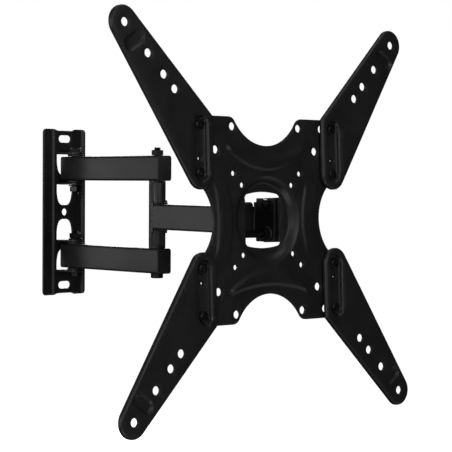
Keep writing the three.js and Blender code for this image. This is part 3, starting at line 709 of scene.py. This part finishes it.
def hex_nut(flats, height, radius, turn=0.0):
    """A nut with turned faces and a countersunk bore."""
    rows, row = hex_rows(flats, 0.0, height, turn)
    rows.append(row(radius + 0.55, height))
    rows.append(row(radius + 0.1, height - 0.5))
    rows.append(row(radius + 0.1, 0.5))
    rows.append(row(radius + 0.55, 0.0))
    mesh = grid_mesh("nut", rows, closed=False)
    finish_mesh(mesh, 28)
    return mesh


def threaded(radius, low, high, pitch, steps=32):
    """A shank's end with a real helix on it, cut between low and high, chamfered at the high end."""
    angles = np.linspace(0, 2 * math.pi, steps, endpoint=False)
    rows = []
    for z in np.arange(low, high + 1e-6, pitch / 6):
        phase = (z / pitch - angles / (2 * math.pi)) % 1.0
        depth = 0.55 * pitch * np.abs(2 * phase - 1)
        r = radius - depth
        r = np.minimum(r, radius - 0.2 + (high - z) * 0.9)
        rows.append(np.column_stack((r * np.cos(angles), r * np.sin(angles), np.full(steps, z))))
    mesh = grid_mesh("thread", rows)
    finish_mesh(mesh, 50)
    return mesh


def lathe(name, profile, steps=48, angle=34.0):
    """A closed profile of (radius, height) pairs turned about Z; it starts and ends off the axis."""
    angles = np.linspace(0, 2 * math.pi, steps, endpoint=False)
    rows = [np.column_stack((r * np.cos(angles), r * np.sin(angles), np.full(steps, z))) for r, z in profile]
    mesh = grid_mesh(name, rows, closed=False)
    finish_mesh(mesh, angle)
    return mesh


def shank(radius, low, high, steps=32):
    angles = np.linspace(0, 2 * math.pi, steps, endpoint=False)
    circle = (radius * np.cos(angles), radius * np.sin(angles))
    rows = [np.column_stack((*circle, np.full(steps, z))) for z in (low, high)]
    mesh = grid_mesh("shank", rows)
    finish_mesh(mesh)
    return mesh


def hex_bolt(seat, end, radius=4.0, flats=13.0, height=5.3, pitch=1.25, turn=0.0):
    """A hexagon-headed bolt whose head sits on seat and whose thread ends at end, below it."""
    rows, row = hex_rows(flats, 0.0, height, turn, both=False)
    rows.append(row(flats / 2 * 0.7, height))
    rows.append(row(flats / 2 * 0.66, height - 0.25))
    head = grid_mesh("head", rows)
    finish_mesh(head, 28)
    head.transform(Matrix.Translation((0, 0, seat)))
    length = seat - end
    tail = threaded(radius, 0.0, min(length * 0.45, 16.0), pitch)
    flip = Matrix.Rotation(math.pi, 4, "X")
    start = end + min(length * 0.45, 16.0)
    tail.transform(Matrix.Translation((0, 0, start)) @ flip)
    return merge("bolt", [head, tail, shank(radius - 0.05, start - 0.2, seat + 0.5)])


def washer(radius, bore, low, high, edge=0.25):
    e = min(edge, (high - low) / 2.2)
    return lathe(
        "washer",
        [
            (bore, low + e),
            (bore + e, low),
            (radius - e, low),
            (radius, low + e),
            (radius, high - e),
            (radius - e, high),
            (bore + e, high),
            (bore, high - e),
        ],
    )


def build_screw(turn):
    """A pan-head screw with a cross recess, its head up from the channel's floor."""
    seat, top, reach = LEG_FLOOR + GAP, 2.6, 5.9
    c, s = math.cos(turn), math.sin(turn)

    def relief(points):
        r = np.hypot(points[:, 0], points[:, 1])
        dome = top * np.sqrt(np.clip(1 - (r / (reach + 1.0)) ** 2.6, 0.05, 1.0))
        x = np.abs(points[:, 0] * c + points[:, 1] * s)
        y = np.abs(points[:, 1] * c - points[:, 0] * s)
        arm = np.maximum(np.minimum(0.75 - x, 3.1 - y), np.minimum(0.75 - y, 3.1 - x))
        return seat + dome - 1.7 * smooth(arm / 0.5 + 0.4) * (1 - 0.16 * r)

    loop = arc(0, 0, reach, 0, 360, 40)[:-1]
    head = pressed("pan", loop, [], 0.8, raised(relief), relief, 0.28, 1.2)
    end = -PLATE_SHEET / 2 - GAP - 5.0 - 1.5
    tail = threaded(3.0, 0.0, 8.0, 1.0, 24)
    tail.transform(Matrix.Translation((0, 0, end + 8.0)) @ Matrix.Rotation(math.pi, 4, "X"))
    ring_section = [(2.6, seat + 0.6), (2.6, seat), (5.5, seat), (5.9, seat + 0.35), (5.5, seat + 0.9)]
    collar = lathe("collar", ring_section)
    return merge("screw", [head, tail, collar])


# ---- wall plate ---------------------------------------------------------------------------------

WALL_SHEET = 2.5
WEB_FRONT = 4.9
LUG_HEIGHTS = {"outer": (72.8, 75.3), "inner": (34.7, 37.2)}


def wall_relief(points):
    """Front face of the pressed wall plate, in front of the wall."""
    x = np.abs(points[:, 0])
    web = 1.0 - smooth((x - 16.6) / 2.6)
    rim = smooth((x - 29.2) / 2.4)
    edge = smooth((x - 33.4) / 1.4) * 0.3
    return 2.5 + 2.4 * np.maximum(web, rim) - edge


def wall_outline():
    half, top, c = 34.5, 105.0, 5.0
    right = [
        arc(half - c, top - c, c, 0, 90, 7),
        [(18.0, top), (17.0, top - 0.15), (12.0, top - 1.95), (11.0, top - 2.1)],
    ]
    left = np.vstack(right)[::-1] * (-1, 1)
    upper = np.vstack((np.vstack(right), left))
    return resample(np.vstack((upper, -upper)), 2.2)


def bell(edge, down):
    """The opening a lug was pressed out of, clockwise; it hangs below edge, or stands on it."""
    half, deep = 13.0, 26.0
    t = np.linspace(0, 1, 11)[:, None]
    a, b = np.array((half, 0.35 * deep)), np.array((half * 0.9, deep))
    c, d = np.array((half * 0.5, deep)), np.array((0.0, deep))
    curve = (1 - t) ** 3 * a + 3 * (1 - t) ** 2 * t * b + 3 * (1 - t) * t * t * c + t**3 * d
    right = np.vstack(([(half, 0.0)], curve))
    left = right[::-1][1:] * (-1, 1)
    loop = np.vstack((right, left))
    loop[:, 1] = edge - loop[:, 1] if down > 0 else edge + loop[:, 1]
    return loop if down > 0 else loop[::-1]


def build_wall_plate():
    holes = [ring(0, 0, 4.4, 32), obround(0, 92.5, 20, 9.2), obround(0, -92.5, 20, 9.2)]
    for sign in (1, -1):
        holes.append(resample(bell(sign * 72.8, sign), 1.6))
        holes.append(resample(bell(sign * 34.9, sign), 1.6))
    sheet = pressed(
        "wall", wall_outline(), holes, WALL_SHEET, raised(wall_relief), wall_relief, 1.1, 7.0
    )
    sheet.transform(STAND)
    parts = [sheet]
    for sign in (1, -1):
        for near, far in LUG_HEIGHTS.values():
            parts.append(build_lug(near if sign > 0 else -far, sign))
    joined = merge("wall_plate_pressing", parts)
    finish_mesh(joined)
    piece("wall_plate_pressing", joined, "wall", "powder_coat", POWDER, WALL, ["wall_plate"])


def build_lug(low, sign):
    """A lug standing forward out of the web, flat, the upper lugs rising and the lower ones dropping a little near
    the root.
    """
    t, r = WALL_SHEET, 2.4
    length = 20.5
    tip = arc(0, length, 9.0, 0, 180, 20)
    outline = np.vstack(([(-13.0, 1.2)], [(13.0, 1.2)], tip))
    hole = ring(0, length, 4.3, 28)

    def place(points, w):
        x, v = points[:, 0], points[:, 1]
        fold = np.maximum(r + 1.0 - v, 0.0)
        lift = fold**2 / (2.4 * r)
        y = -(WEB_FRONT + v) + np.minimum(1.0, fold) * 0.0
        z = low + t + w + (lift if sign > 0 else -lift) * 0.6
        return np.column_stack((x, y, z))

    bending = lambda p: 0.1 * np.maximum(r + 1 - p[:, 1], 0) ** 2
    return pressed("lug", resample(outline, 1.5), [hole], t, place, bending, 1.3, 4.0)


# ---- swivel bracket -----------------------------------------------------------------------------


def build_bracket():
    """A cross-shaped blank folded at four bends: cheeks forward, flanges back round the sleeve."""
    t, r = 3.0, 1.6  # r is the inside bend radius
    half_web, half_high, reach_cheek = 25.0, 24.0, 46.0 - 12.5
    flange_top, flange_reach = 19.7, 12.0
    a = half_web - t - r  # where the cheek's bend starts
    b = flange_top - t - r
    arc_length = (r + t / 2) * math.pi / 2
    cheek = a + arc_length + reach_cheek - t - r
    flange = b + arc_length + flange_reach - r
    s, c = half_high, 2.0
    slit = 19.8
    tall = a + arc_length + (46.0 - 41.0) - t - r  # where the cheek reaches its full height
    right = [
        (slit, b - 0.6),
        (slit + 2.2, b - 0.6),
        (slit + 2.2, flange_top),
        (tall, flange_top),
        (tall, s - 1.0),
        (tall + 1.0, s),
        *arc(cheek - c, s - c, c, 90, 0, 5),
    ]
    quarter = np.array(right)[::-1]
    tip = arc(0, flange, 12.5, 20, 90, 12)
    upper_right = np.vstack((quarter, [(slit, b + 0.4)], [(slit, flange - 1.0)], tip))
    upper_left = upper_right[::-1][1:] * (-1, 1)
    upper = np.vstack((upper_right, upper_left))
    outline = resample(np.vstack((upper, -upper)), 1.6)
    tilt_u = a + arc_length + (46.0 - 22.6) - t - r
    lock_u = a + arc_length + (46.0 - 23.5) - t - r
    holes = [ring(0, flange, 4.3, 28), ring(0, -flange, 4.3, 28)]
    for side in (1, -1):
        holes.append(ring(side * tilt_u, -15.2, 4.3, 28))
        holes.append(ring(side * lock_u, 17.8, 3.3, 22))

    def fold(u, start):
        """Along the face, depth out of it, and the face's turn, for a bend that starts at start."""
        over = np.abs(u) - start
        middle = r + t / 2
        angle = np.clip(over / middle, 0.0, math.pi / 2)
        straight = np.maximum(over - arc_length, 0.0)
        along = np.minimum(np.abs(u), start) + middle * np.sin(angle)
        depth = middle * (1 - np.cos(angle)) + straight
        return np.sign(u) * along, depth, np.sign(u) * np.sin(angle), np.cos(angle)

    def place(points, w):
        w = w + t / 2  # measured from the sheet's middle, positive to the rear
        x, forward, nx, cx = fold(points[:, 0], a)
        z, rear, nz, cz = fold(points[:, 1], b)
        on_cheek = np.abs(points[:, 0]) > slit + 0.2
        z = np.where(on_cheek, points[:, 1], z)
        rear = np.where(on_cheek, 0.0, rear)
        nz, cz = np.where(on_cheek, 0.0, nz), np.where(on_cheek, 1.0, cz)
        y = -12.0 - t / 2 - forward + rear + w * cx * cz
        return np.column_stack((x + w * nx, y, z - w * nz))

    relief = lambda p: 0.05 * (
        np.clip(np.abs(p[:, 0]) - a, 0, arc_length) ** 2 + np.clip(np.abs(p[:, 1]) - b, 0, arc_length) ** 2
    )
    mesh = pressed("bracket", outline, holes, t, place, relief, 1.0, 4.0)
    # the bracket's coat is darkened as painted shade
    piece("swivel_bracket_folded", mesh, "head", "powder_coat", BRACKET_PAINTED_SHADE_COAT, HEAD, ["swivel_bracket"])


# ---- tubes and welds ----------------------------------------------------------------------------


def refined(name, source, body, slot, material, width=0.35, angle=40.0):
    """A CAD node's shape with its flat faces made whole and its edges broken."""
    mesh = frame["nodes"][source].data.copy()
    work = bmesh.new()
    work.from_mesh(mesh)
    bmesh.ops.remove_doubles(work, verts=work.verts, dist=2e-6)
    bmesh.ops.dissolve_limit(
        work, angle_limit=math.radians(0.6), verts=work.verts, edges=work.edges, use_dissolve_boundaries=False
    )
    sharp = [e for e in work.edges if e.is_manifold and e.calc_face_angle(0.0) > math.radians(angle)]
    bmesh.ops.bevel(
        work, geom=sharp, offset=width * MM, segments=2, affect="EDGES", profile=0.5, clamp_overlap=True
    )
    work.to_mesh(mesh)
    work.free()
    for name_ in ("custom_normal", "sharp_edge", "sharp_face"):
        found = mesh.attributes.get(name_)
        if found:
            mesh.attributes.remove(found)
    finish_mesh(mesh, 32)
    return piece(name, mesh, body, slot, material, None, [source])


def weld_bead(points, radius, seed, spread=1.0):
    """A bead along points: ripples like fallen coins, and a wandering width."""
    rows = []
    steps = 14
    pts = [Vector(p) for p in points]
    total = 0.0
    for i, p in enumerate(pts):
        ahead = pts[min(i + 1, len(pts) - 1)]
        behind = pts[max(i - 1, 0)]
        direction = (ahead - behind).normalized()
        side = direction.cross(Vector((0.3, 1.0, 0.2))).normalized()
        up = direction.cross(side)
        if i:
            total += (p - pts[i - 1]).length
        ripple = 0.13 * abs(math.sin(total * math.pi / 1.7))
        wander = 0.12 * noise.noise(Vector((total * 0.35, seed, 0.0)))
        end = min(1.0, 0.35 + 1.2 * min(i, len(pts) - 1 - i) / 4)
        r = radius * (1.0 - 0.12 + ripple + wander) * end
        row = []
        for k in range(steps):
            a = 2 * math.pi * k / steps
            row.append(p + side * (r * spread * math.cos(a)) + up * (r * math.sin(a)))
        rows.append(row)
    mesh = grid_mesh("bead", rows)
    finish_mesh(mesh, 60)
    return mesh


def build_arm():
    refined("outer_arm_welded", "outer_arm", "arm", "arm_coat", TUBE_COAT)
    beads = []
    drop = 0.0 - 2.5
    for sign in (1, -1):
        line = [(sign * 9.0, -4.6, drop + z) for z in np.linspace(-19.5, 19.5, 56)]
        beads.append(weld_bead(line, 2.1, 3.1 * sign))
        far = [(sign * 9.4, -160 + 3.9, drop + z) for z in np.linspace(-14.4, 14.4, 40)]
        beads.append(weld_bead(far, 1.5, 7.7 * sign))
        across = [(x, -9.6, drop + sign * 15.2) for x in np.linspace(-9, 9, 28)]
        beads.append(weld_bead(across, 1.7, 5.3 * sign))
    bead = merge("weld_beads", beads)
    finish_mesh(bead, 60)
    piece("outer_arm_weld_beads", bead, "arm", "arm_coat", WELD, ARM)


def build_tubes():
    build_arm()
    for which in ("upper", "lower"):
        refined(f"{which}_link_tube", f"{which}_link", "links", "arm_coat", TUBE_COAT)
        for end in ("wall", "elbow"):
            source = f"{which}_link_{end}_cap"
            refined(f"{source}_moulded", source, "links", "nylon", NYLON, 0.5)


# ---- pivots -------------------------------------------------------------------------------------


def build_pivots():
    mirror = Matrix.Diagonal((1, 1, -1, 1))
    for which, flip, turn in (("upper", Matrix.Identity(4), 0.21), ("lower", mirror, 0.7)):
        pieces = {
            "bolt": (hex_bolt(75.6, 22.9, turn=turn), "fastener", ZINC),
            "nut": (hex_nut(13.0, 6.5, 4.0, turn + 0.3), "fastener", ZINC),
            "washer": (washer(8.5, 4.3, 32.8, 34.4), "fastener", ZINC),
            "bush_outer": (washer(9.9, 4.3, 70.3, 72.5, 0.5), "nylon", NYLON),
            "bush_inner": (washer(9.9, 4.3, 37.5, 39.7, 0.5), "nylon", NYLON),
        }
        pieces["nut"][0].transform(Matrix.Translation((0, 0, 26.0)))
        for part, (mesh, slot, material) in pieces.items():
            source = f"{which}_pivot_{part}"
            piece(f"{source}_turned", mesh, "wall", slot, material, PIVOT @ flip, [source])
    elbow = Matrix.Translation(P_ELBOW) @ Matrix.Scale(MM, 4)
    bolt = hex_bolt(70.3, -79.8, turn=0.45)
    upended = elbow @ Matrix.Rotation(math.pi, 4, "X")
    piece("elbow_bolt_turned", bolt, "links", "fastener", ZINC, upended, ["elbow_bolt"])
    nut = hex_nut(13.0, 6.5, 4.0, 0.15)
    nut.transform(Matrix.Translation((0, 0, 70.3)))
    piece("elbow_nut_turned", nut, "links", "fastener", ZINC, elbow, ["elbow_nut"])
    for name, flip in (("upper", Matrix.Identity(4)), ("lower", mirror)):
        bush = washer(9.9, 4.3, 37.23, 39.97, 0.2)
        piece(f"elbow_bush_{name}_turned", bush, "arm", "nylon", NYLON, elbow @ flip, [f"elbow_bush_{name}"])


def build_head_fasteners():
    flange = 19.999
    bolt = hex_bolt(flange, -flange - 6.5 - 3.0, turn=0.5)
    piece("swivel_bolt_turned", bolt, "head", "fastener", ZINC, HEAD, ["swivel_bolt"])
    nut = hex_nut(13.0, 6.5, 4.0, 0.2)
    nut.transform(Matrix.Translation((0, 0, -flange - 6.5)))
    piece("swivel_nut_turned", nut, "head", "fastener", ZINC, HEAD, ["swivel_nut"])
    for name, flip in (("upper", Matrix.Identity(4)), ("lower", Matrix.Diagonal((1, 1, -1, 1)))):
        bush = washer(9.9, 4.3, 15.3, 16.7, 0.3)
        source = f"swivel_bush_{name}"
        piece(f"{source}_turned", bush, "head", "nylon", NYLON, HEAD @ flip, [source])
    along = TILT @ ACROSS
    ear, cheek = 28.3, 21.7
    bolt = hex_bolt(ear, -ear - 9.5, turn=0.1)
    upended = along @ Matrix.Rotation(math.pi, 4, "X")
    piece("tilt_bolt_turned", bolt, "plate", "fastener", ZINC, upended, ["tilt_bolt"])
    for source, low in (("tilt_nut", ear), ("tilt_inner_nut", cheek - 2.8 - 6.5)):
        nut = hex_nut(13.0, 6.5, 4.0, 0.35)
        nut.transform(Matrix.Translation((0, 0, low)))
        piece(f"{source}_turned", nut, "plate", "fastener", ZINC, along, [source])
    for name, (low, high) in {"right": (cheek - 2.5, cheek), "left": (-cheek, 2.5 - cheek)}.items():
        bush = washer(8.5, 4.3, low, high, 0.5)
        piece(f"tilt_bush_{name}_turned", bush, "plate", "nylon", NYLON, along, [f"tilt_bush_{name}"])
    for name, side in (("right", 1), ("left", -1)):
        at = HEAD @ Matrix.Translation((0, 23.5 - 58.0, 17.8)) @ Matrix.Diagonal((side, 1, 1, 1)) @ ACROSS
        bolt = hex_bolt(ear, cheek - 6.5, 3.0, 10.0, 4.0, 1.0, 0.3 * side)
        piece(f"lock_bolt_{name}_turned", bolt, "head", "fastener", ZINC, at, [f"lock_bolt_{name}"])
        nut = hex_nut(10.0, 5.0, 3.0, 0.2 * side)
        nut.transform(Matrix.Translation((0, 0, cheek - 5.0)))
        piece(f"lock_nut_{name}_turned", nut, "head", "fastener", ZINC, at, [f"lock_nut_{name}"])


build_plate()
build_legs()
build_wall_plate()
build_bracket()
build_tubes()
build_pivots()
build_head_fasteners()


# ---- floor, light, camera -----------------------------------------------------------------------


def glow(name, colour, strength):
    """A plain surface that lights itself, for the stage only."""
    material = bpy.data.materials.new(name)
    material.use_nodes = True
    surface = material.node_tree.nodes["Principled BSDF"]
    surface.inputs["Base Color"].default_value = colour
    surface.inputs["Roughness"].default_value = 0.9
    surface.inputs["Emission Color"].default_value = colour
    surface.inputs["Emission Strength"].default_value = strength
    return material


def area_light(name, where, target, width, height, power):
    data = bpy.data.lights.new(name, "AREA")
    data.shape = "RECTANGLE"
    data.size = width
    data.size_y = height
    data.energy = power
    made = bpy.data.objects.new(name, data)
    made.location = where
    made.rotation_euler = (Vector(target) - Vector(where)).to_track_quat("-Z", "Y").to_euler()
    bpy.context.scene.collection.objects.link(made)
    return made


floor_mesh = bpy.data.meshes.new("floor")
reach = 30.0
corners = [(-reach, -reach, -0.62), (reach, -reach, -0.62), (reach, reach, -0.62), (-reach, reach, -0.62)]
floor_mesh.from_pydata(corners, [], [(0, 1, 2, 3)])
floor = bpy.data.objects.new("floor", floor_mesh)
floor_mesh.materials.append(glow("pale_floor", srgb("#fcfcfc"), 1.0))
floor.visible_glossy = False
floor.visible_diffuse = False
bpy.context.scene.collection.objects.link(floor)

world = bpy.data.worlds.new("studio")
bpy.context.scene.world = world
world.use_nodes = True
sky = world.node_tree
sky.nodes.clear()
seen = node(sky, "ShaderNodeLightPath").outputs["Is Camera Ray"]
dim = node(sky, "ShaderNodeBackground", values={"Color": (1, 1, 1, 1), "Strength": 0.05})
bright = node(sky, "ShaderNodeBackground", values={"Color": (1, 1, 1, 1), "Strength": 1.0})
mixed = node(sky, "ShaderNodeMixShader", links={0: seen, 1: dim.outputs[0], 2: bright.outputs[0]})
node(sky, "ShaderNodeOutputWorld", links={"Surface": mixed.outputs[0]})

middle = Vector((-0.03, -0.28, 0.0))
area_light("side_soft", (-1.9, 1.35, 0.0), (-0.05, -0.2, 0.0), 3.6, 1.2, 11)
area_light("front_left", (-1.9, -1.7, 0.5), middle, 0.5, 0.7, 6)
area_light("left_strip", (-2.4, -0.45, 0.1), middle, 0.35, 1.6, 15)
area_light("front_soft", (-0.3, -2.6, 0.7), middle, 1.6, 1.0, 12)
area_light("top_soft", (0.0, -0.6, 1.9), middle, 1.2, 1.2, 7)
area_light("under_right", (1.2, -1.9, -1.5), middle, 2.0, 1.3, 5)
area_light("under_left", (-0.7, -1.1, -1.1), middle, 1.0, 0.6, 5)
area_light("rear_right", (1.7, 1.5, 0.9), middle, 1.6, 1.2, 34)

CAMERA = {"location": (-1.369, -1.613, 0.0393), "yaw": 45.97, "pitch": -1.526, "roll": 0.32, "lens": 131.95}
camera_data = bpy.data.cameras.new("camera")
camera_data.lens = CAMERA["lens"]
camera_data.sensor_width = 36.0
camera_data.clip_end = 100.0
camera = bpy.data.objects.new("camera", camera_data)
camera.location = CAMERA["location"]
camera.rotation_mode = "XYZ"
turn = Matrix.Rotation(math.radians(-CAMERA["yaw"]), 4, "Z")
nod = Matrix.Rotation(math.radians(90 + CAMERA["pitch"]), 4, "X")
roll = Matrix.Rotation(math.radians(CAMERA["roll"]), 4, "Z")
camera.rotation_euler = (turn @ nod @ roll).to_euler()
bpy.context.scene.collection.objects.link(camera)
bpy.context.scene.camera = camera
bpy.context.scene.view_settings.view_transform = "Standard"
